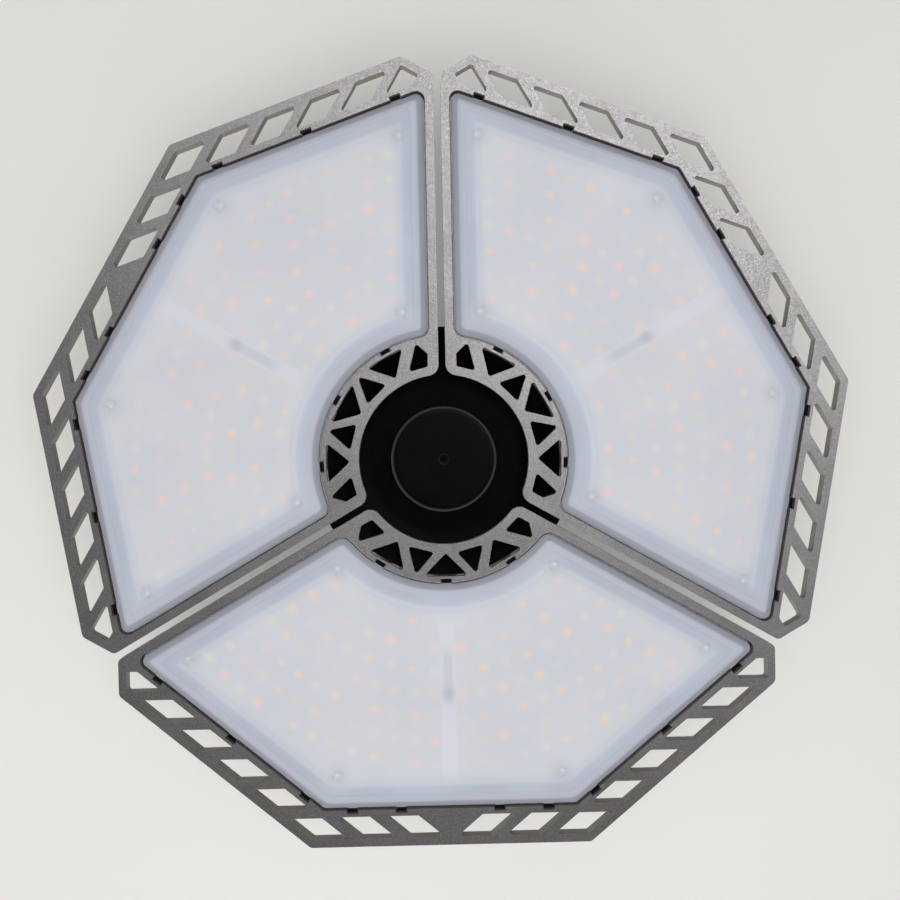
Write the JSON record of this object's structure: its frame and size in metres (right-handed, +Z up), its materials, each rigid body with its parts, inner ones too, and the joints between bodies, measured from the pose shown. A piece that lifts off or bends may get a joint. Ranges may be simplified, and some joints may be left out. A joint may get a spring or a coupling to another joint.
{
  "type": "deformable garage light",
  "caption": "Screw-base ceiling lamp with flat lit petals, pierced metal rims and a round black hub; each petal folds up on its own friction hinge to aim its light.",
  "frame": {"origin": "on the lamp's axis, in the plane of the screw shell's lower rim", "axes": "+Z points up along the axis into the lamp holder; the flat petals lie across Z with their lit faces towards -Z; the first petal's centre line is 30 degrees from +X towards +Y, and the others follow every 120 degrees"},
  "size_m": [0.3208, 0.3109, 0.113],
  "materials": {
    "silver_casting": "satin silver-grey die casting",
    "frosted_cover": "milky frosted polycarbonate",
    "white_board": "aluminium board with white solder mask",
    "phosphor": "lamp chip with yellow phosphor",
    "black_casting": "black powder-coated die casting",
    "black_gloss": "smooth black moulding",
    "black_plastic": "fine-textured black moulding",
    "black_screw": "blackened steel",
    "zinc_steel": "zinc-plated steel",
    "nickel_shell": "nickel-plated thin metal",
    "black_insulator": "moulded insulator",
    "brass_contact": "tinned brass button",
    "black_rubber": "matt rubber",
    "green_laminate": "glass-epoxy circuit board",
    "ferrite": "ferrite core",
    "yellow_tape": "taped winding",
    "capacitor_sleeve": "shrink-sleeved can",
    "copper_winding": "enamelled copper on a ring core",
    "chip_package": "moulded package"
  },
  "bodies": {
    "hub": {"screw_shell": "nickel_shell", "base_insulator": "black_insulator", "centre_contact": "brass_contact", "base_neck": "black_plastic", "driver_housing": "black_plastic", "hub_carrier": "black_casting", "front_dish": "black_gloss", "centre_cap": "black_gloss", "housing_screws": "black_screw", "dish_screws": "black_screw", "hub_grommets": "black_rubber", "driver_board": "green_laminate", "transformer_core": "ferrite", "transformer_coil": "yellow_tape", "bulk_capacitors": "capacitor_sleeve", "filter_choke": "copper_winding", "driver_chips": "chip_package", "hinge_1_pin": "zinc_steel", "hinge_1_nut": "zinc_steel", "hinge_1_washers": "zinc_steel", "hinge_2_pin": "zinc_steel", "hinge_2_nut": "zinc_steel", "hinge_2_washers": "zinc_steel", "hinge_3_pin": "zinc_steel", "hinge_3_nut": "zinc_steel", "hinge_3_washers": "zinc_steel"},
    "panel_1": {"panel_1_frame": "silver_casting", "panel_1_lamp_board": "white_board", "panel_1_lamp_chips": "phosphor", "panel_1_diffuser": "frosted_cover", "panel_1_board_screws": "zinc_steel", "panel_1_hinge_bracket": "black_casting", "panel_1_bracket_screws": "zinc_steel", "panel_1_grommet": "black_rubber"},
    "panel_2": {"panel_2_frame": "silver_casting", "panel_2_lamp_board": "white_board", "panel_2_lamp_chips": "phosphor", "panel_2_diffuser": "frosted_cover", "panel_2_board_screws": "zinc_steel", "panel_2_hinge_bracket": "black_casting", "panel_2_bracket_screws": "zinc_steel", "panel_2_grommet": "black_rubber"},
    "panel_3": {"panel_3_frame": "silver_casting", "panel_3_lamp_board": "white_board", "panel_3_lamp_chips": "phosphor", "panel_3_diffuser": "frosted_cover", "panel_3_board_screws": "zinc_steel", "panel_3_hinge_bracket": "black_casting", "panel_3_bracket_screws": "zinc_steel", "panel_3_grommet": "black_rubber"}
  },
  "joints": [
    {"name": "panel_1_fold", "type": "hinge", "parent": "hub", "child": "panel_1", "pos_m": [0.05369, 0.031, -0.064], "axis": [0.5, -0.866, 0], "range_deg": [0, 90]},
    {"name": "panel_2_fold", "type": "hinge", "parent": "hub", "child": "panel_2", "pos_m": [-0.05369, 0.031, -0.064], "axis": [0.5, 0.866, 0], "range_deg": [0, 90]},
    {"name": "panel_3_fold", "type": "hinge", "parent": "hub", "child": "panel_3", "pos_m": [0, -0.062, -0.064], "axis": [-1, 0, 0], "range_deg": [0, 90]}
  ]
}
